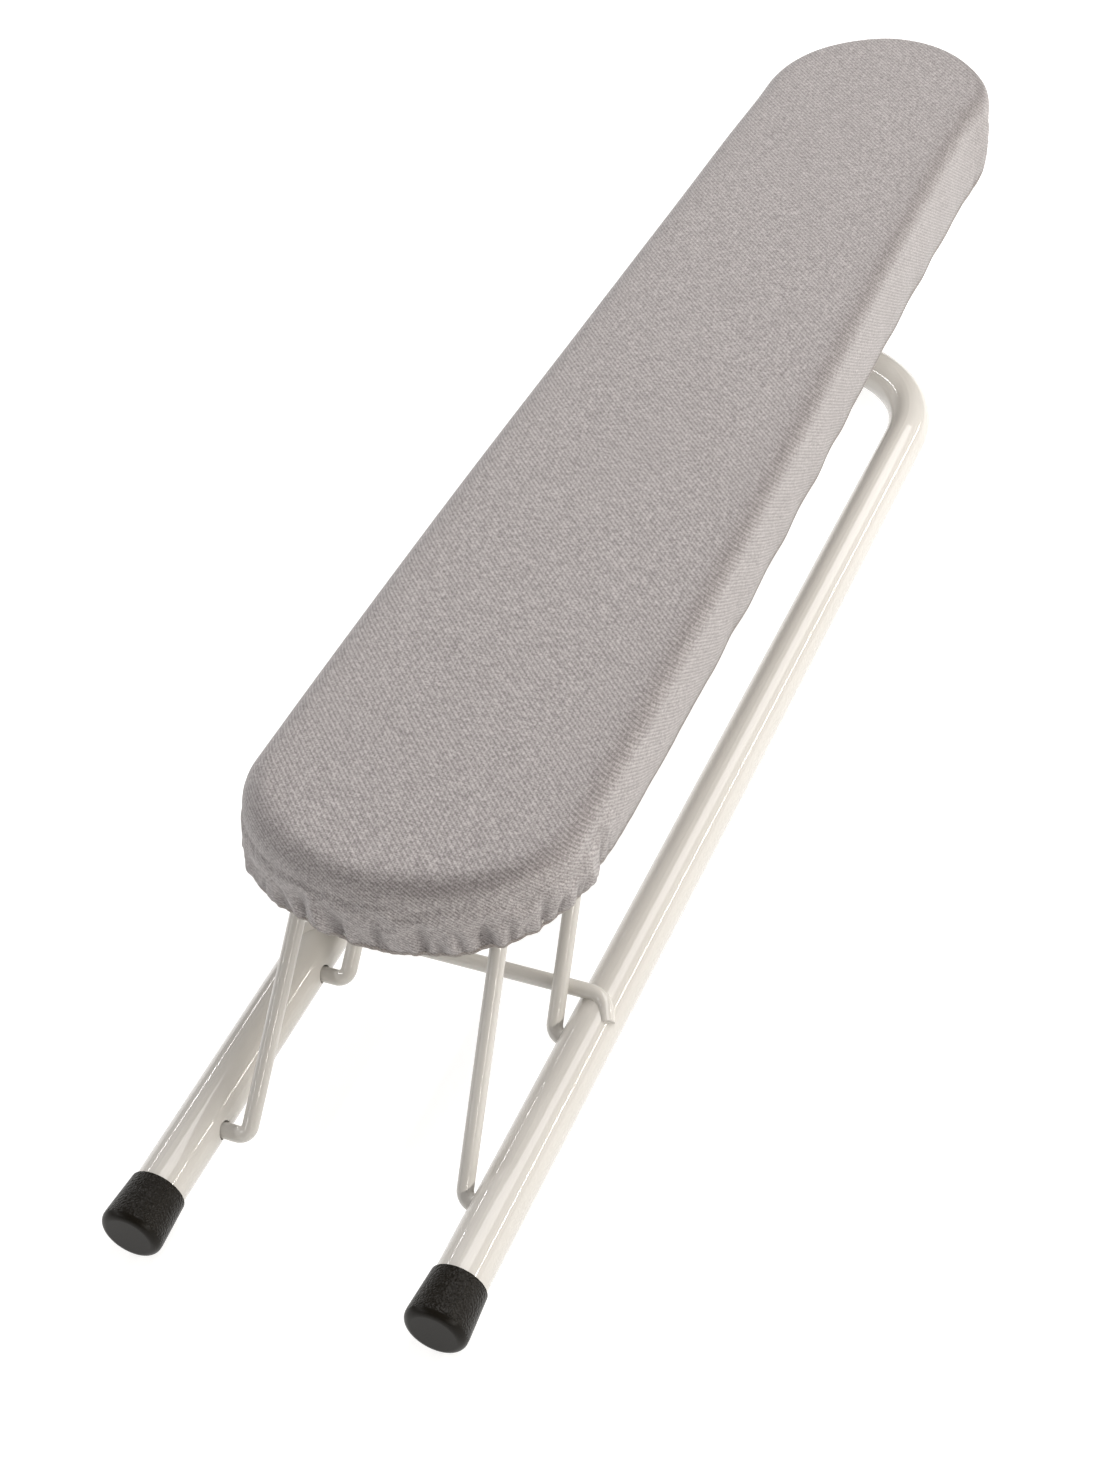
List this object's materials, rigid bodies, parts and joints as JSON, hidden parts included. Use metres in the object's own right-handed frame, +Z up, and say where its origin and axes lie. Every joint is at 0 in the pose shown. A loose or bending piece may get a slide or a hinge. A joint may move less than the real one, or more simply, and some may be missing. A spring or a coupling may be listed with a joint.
{
  "type": "ironing board",
  "caption": "Tabletop sleeve ironing board with a padded fabric cover on a folding wire-legged steel tube base.",
  "frame": {"origin": "on the worktop, under the middle of the overall length and width", "axes": "+Y along the board towards its narrow free end, +Z up, +X to the right seen from the wide end"},
  "size_m": [0.1384, 0.697, 0.1162],
  "materials": {
    "frame_paint": "gloss cream powder coat",
    "tray_paint": "satin cream paint",
    "strap_steel": "zinc plated",
    "rivet_steel": "zinc plated",
    "ferrule_rubber": "leather-grained black rubber",
    "foot_rubber": "matte black rubber",
    "pad_foam": "open-cell foam",
    "cover_fabric": "fine woven, slight metallic sheen",
    "hem_fabric": "fine woven, folded",
    "elastic_cord": "braided elastic"
  },
  "bodies": {
    "base": {"base_tube": "frame_paint", "left_ferrule": "ferrule_rubber", "right_ferrule": "ferrule_rubber", "rear_foot": "foot_rubber", "stop_wire": "frame_paint"},
    "near_bail": {"near_bail": "frame_paint"},
    "far_bail": {"far_bail": "frame_paint"},
    "board": {"board_tray": "tray_paint", "near_left_strap": "strap_steel", "near_right_strap": "strap_steel", "far_left_strap": "strap_steel", "far_right_strap": "strap_steel", "strap_rivets": "rivet_steel", "foam_pad": "pad_foam", "cover": "cover_fabric", "hem_band": "hem_fabric", "hem_elastic": "elastic_cord"}
  },
  "joints": [
    {"name": "near_bail_hinge", "type": "hinge", "parent": "base", "child": "near_bail", "pos_m": [0, -0.2965, 0.0115], "axis": [1, 0, 0], "range_deg": [0, 106]},
    {"name": "far_bail_hinge", "type": "hinge", "parent": "base", "child": "far_bail", "pos_m": [0, -0.2185, 0.0115], "axis": [1, 0, 0], "range_deg": [0, 106]},
    {"name": "board_hinge", "type": "hinge", "parent": "near_bail", "child": "board", "pos_m": [0, -0.21902, 0.1045], "axis": [1, 0, 0], "range_deg": [-106, 0]}
  ],
  "couplings": [
    {"joint": "far_bail_hinge", "follows": "near_bail_hinge", "ratio": 1},
    {"joint": "board_hinge", "follows": "near_bail_hinge", "ratio": -1}
  ]
}
